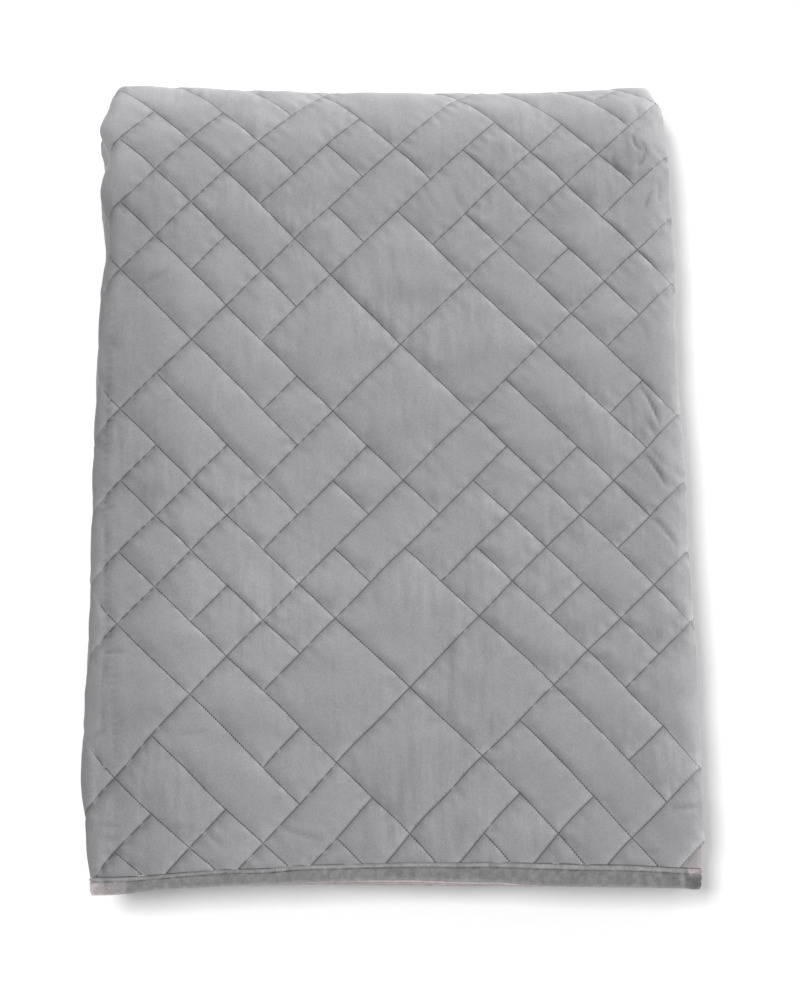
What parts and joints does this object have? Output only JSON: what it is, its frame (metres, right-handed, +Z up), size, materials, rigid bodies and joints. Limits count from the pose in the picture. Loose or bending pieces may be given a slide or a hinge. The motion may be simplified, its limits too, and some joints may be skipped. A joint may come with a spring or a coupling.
{
  "type": "quilted bedspread",
  "caption": "Velvet bedspread quilted in squares and oblongs on the bias, with a bound edge, folded into a flat packet that lies on a shelf or bed.",
  "frame": {"origin": "under the middle of the folded packet, on the surface that it lies on", "axes": "+Y from the bound front edge to the far fold, +Z up, +X to the open side folds"},
  "size_m": [0.6674, 0.9396, 0.0955],
  "materials": {
    "velvet": "short-pile woven velvet, quilted",
    "binding": "short-pile woven velvet, folded over the edge"
  },
  "bodies": {
    "root": {"quilted_panel": "velvet", "binding_front": "binding", "binding_inner": "binding", "binding_side_upper": "binding", "binding_side_lower": "binding"}
  },
  "joints": []
}
